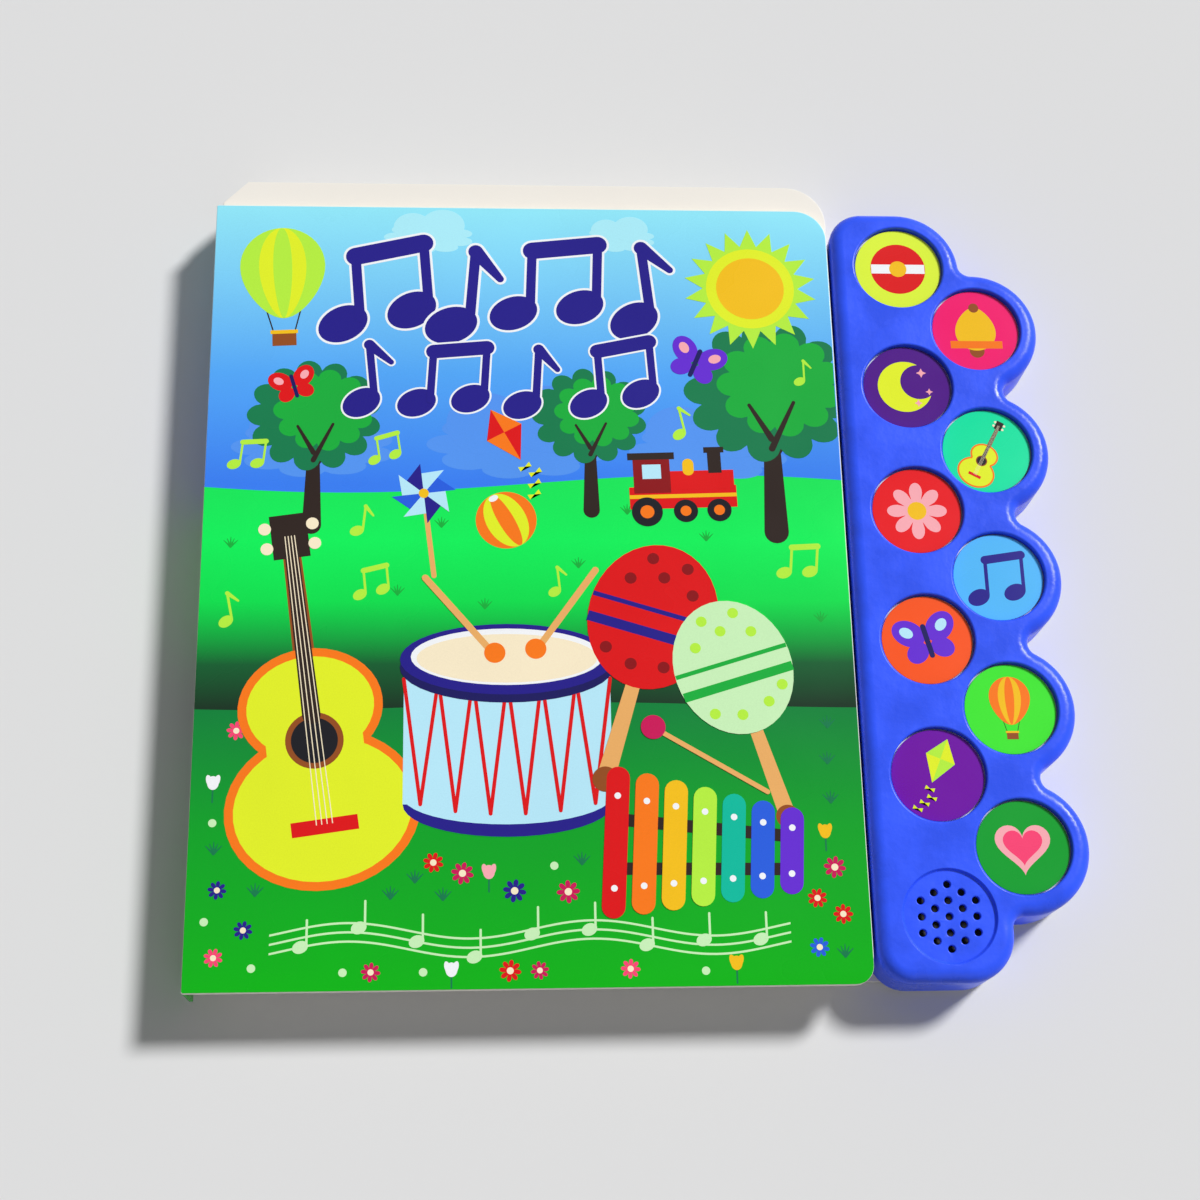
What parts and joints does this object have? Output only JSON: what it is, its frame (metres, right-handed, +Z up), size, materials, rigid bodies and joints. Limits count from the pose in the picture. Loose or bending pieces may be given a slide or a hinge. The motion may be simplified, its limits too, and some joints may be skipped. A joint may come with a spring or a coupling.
{
  "type": "sound book",
  "caption": "Board book lying shut, with a scalloped plastic sound module along its fore-edge: sunken round push buttons, a dished speaker grille and a battery door underneath.",
  "frame": {"origin": "centre of the whole book's footprint, on the underside of the back cover", "axes": "+X from the spine to the fore-edge and the sound module, +Y from the foot of the cover to its head, +Z up through the front cover"},
  "size_m": [0.2408, 0.2386, 0.018],
  "materials": {
    "cover_print": "printed and gloss laminated",
    "back_print": "printed and gloss laminated",
    "page_board": "raw cut edge",
    "blue_shell": "satin moulded",
    "cap_plastic": "satin moulded",
    "circuit_laminate": "solder mask",
    "black_resin": "cast drop",
    "label_yellow": "printed sticker",
    "label_pink": "printed sticker",
    "label_indigo": "printed sticker",
    "label_teal": "printed sticker",
    "label_red": "printed sticker",
    "label_sky": "printed sticker",
    "label_orange": "printed sticker",
    "label_lime": "printed sticker",
    "label_purple": "printed sticker",
    "label_green": "printed sticker",
    "dome_rubber": "matte",
    "plated_steel": "nickel plated",
    "screw_steel": "zinc plated",
    "magnet_steel": "dark",
    "cone_film": "thin film",
    "red_wire": "soft sleeve",
    "black_wire": "soft sleeve"
  },
  "bodies": {
    "base": {"back_cover": "back_print", "module_top_shell": "blue_shell", "module_bottom_shell": "blue_shell", "circuit_board": "circuit_laminate", "sound_chip": "black_resin", "switch_dome_1": "dome_rubber", "switch_dome_2": "dome_rubber", "switch_dome_3": "dome_rubber", "switch_dome_4": "dome_rubber", "switch_dome_5": "dome_rubber", "switch_dome_6": "dome_rubber", "switch_dome_7": "dome_rubber", "switch_dome_8": "dome_rubber", "switch_dome_9": "dome_rubber", "switch_dome_10": "dome_rubber", "speaker_frame": "plated_steel", "speaker_cone": "cone_film", "speaker_magnet": "magnet_steel", "speaker_wire_red": "red_wire", "speaker_wire_black": "black_wire", "battery_cell_1": "plated_steel", "battery_cell_2": "plated_steel", "battery_cell_3": "plated_steel", "battery_contact_positive": "plated_steel", "battery_contact_negative": "plated_steel", "battery_link_lower": "plated_steel", "battery_link_upper": "plated_steel", "battery_door": "blue_shell", "battery_door_screw": "screw_steel", "case_screw_1": "screw_steel", "case_screw_2": "screw_steel", "case_screw_3": "screw_steel", "case_screw_4": "screw_steel", "case_screw_5": "screw_steel", "case_screw_6": "screw_steel"},
    "leaves": {"page_block": "page_board", "spine": "cover_print"},
    "front_board": {"front_cover": "cover_print"},
    "button_body_1": {"button_1": "cap_plastic", "button_label_1": "label_yellow"},
    "button_body_2": {"button_2": "cap_plastic", "button_label_2": "label_pink"},
    "button_body_3": {"button_3": "cap_plastic", "button_label_3": "label_indigo"},
    "button_body_4": {"button_4": "cap_plastic", "button_label_4": "label_teal"},
    "button_body_5": {"button_5": "cap_plastic", "button_label_5": "label_red"},
    "button_body_6": {"button_6": "cap_plastic", "button_label_6": "label_sky"},
    "button_body_7": {"button_7": "cap_plastic", "button_label_7": "label_orange"},
    "button_body_8": {"button_8": "cap_plastic", "button_label_8": "label_lime"},
    "button_body_9": {"button_9": "cap_plastic", "button_label_9": "label_purple"},
    "button_body_10": {"button_10": "cap_plastic", "button_label_10": "label_green"}
  },
  "joints": [
    {"name": "back_cover_hinge", "type": "hinge", "parent": "base", "child": "leaves", "pos_m": [-0.12058, 0, 0.0024], "axis": [0, -1, 0], "range_deg": [0, 180]},
    {"name": "front_cover_hinge", "type": "hinge", "parent": "leaves", "child": "front_board", "pos_m": [-0.12058, 0, 0.0156], "axis": [0, -1, 0], "range_deg": [0, 180]},
    {"name": "button_1_press", "type": "slide", "parent": "base", "child": "button_body_1", "axis": [0, 0, -1], "range_m": [0, 0.001], "stiffness_N_per_m": 800, "springref_m": -0.0005, "deforming": ["switch_dome_1"]},
    {"name": "button_2_press", "type": "slide", "parent": "base", "child": "button_body_2", "axis": [0, 0, -1], "range_m": [0, 0.001], "stiffness_N_per_m": 800, "springref_m": -0.0005, "deforming": ["switch_dome_2"]},
    {"name": "button_3_press", "type": "slide", "parent": "base", "child": "button_body_3", "axis": [0, 0, -1], "range_m": [0, 0.001], "stiffness_N_per_m": 800, "springref_m": -0.0005, "deforming": ["switch_dome_3"]},
    {"name": "button_4_press", "type": "slide", "parent": "base", "child": "button_body_4", "axis": [0, 0, -1], "range_m": [0, 0.001], "stiffness_N_per_m": 800, "springref_m": -0.0005, "deforming": ["switch_dome_4"]},
    {"name": "button_5_press", "type": "slide", "parent": "base", "child": "button_body_5", "axis": [0, 0, -1], "range_m": [0, 0.001], "stiffness_N_per_m": 800, "springref_m": -0.0005, "deforming": ["switch_dome_5"]},
    {"name": "button_6_press", "type": "slide", "parent": "base", "child": "button_body_6", "axis": [0, 0, -1], "range_m": [0, 0.001], "stiffness_N_per_m": 800, "springref_m": -0.0005, "deforming": ["switch_dome_6"]},
    {"name": "button_7_press", "type": "slide", "parent": "base", "child": "button_body_7", "axis": [0, 0, -1], "range_m": [0, 0.001], "stiffness_N_per_m": 800, "springref_m": -0.0005, "deforming": ["switch_dome_7"]},
    {"name": "button_8_press", "type": "slide", "parent": "base", "child": "button_body_8", "axis": [0, 0, -1], "range_m": [0, 0.001], "stiffness_N_per_m": 800, "springref_m": -0.0005, "deforming": ["switch_dome_8"]},
    {"name": "button_9_press", "type": "slide", "parent": "base", "child": "button_body_9", "axis": [0, 0, -1], "range_m": [0, 0.001], "stiffness_N_per_m": 800, "springref_m": -0.0005, "deforming": ["switch_dome_9"]},
    {"name": "button_10_press", "type": "slide", "parent": "base", "child": "button_body_10", "axis": [0, 0, -1], "range_m": [0, 0.001], "stiffness_N_per_m": 800, "springref_m": -0.0005, "deforming": ["switch_dome_10"]}
  ]
}
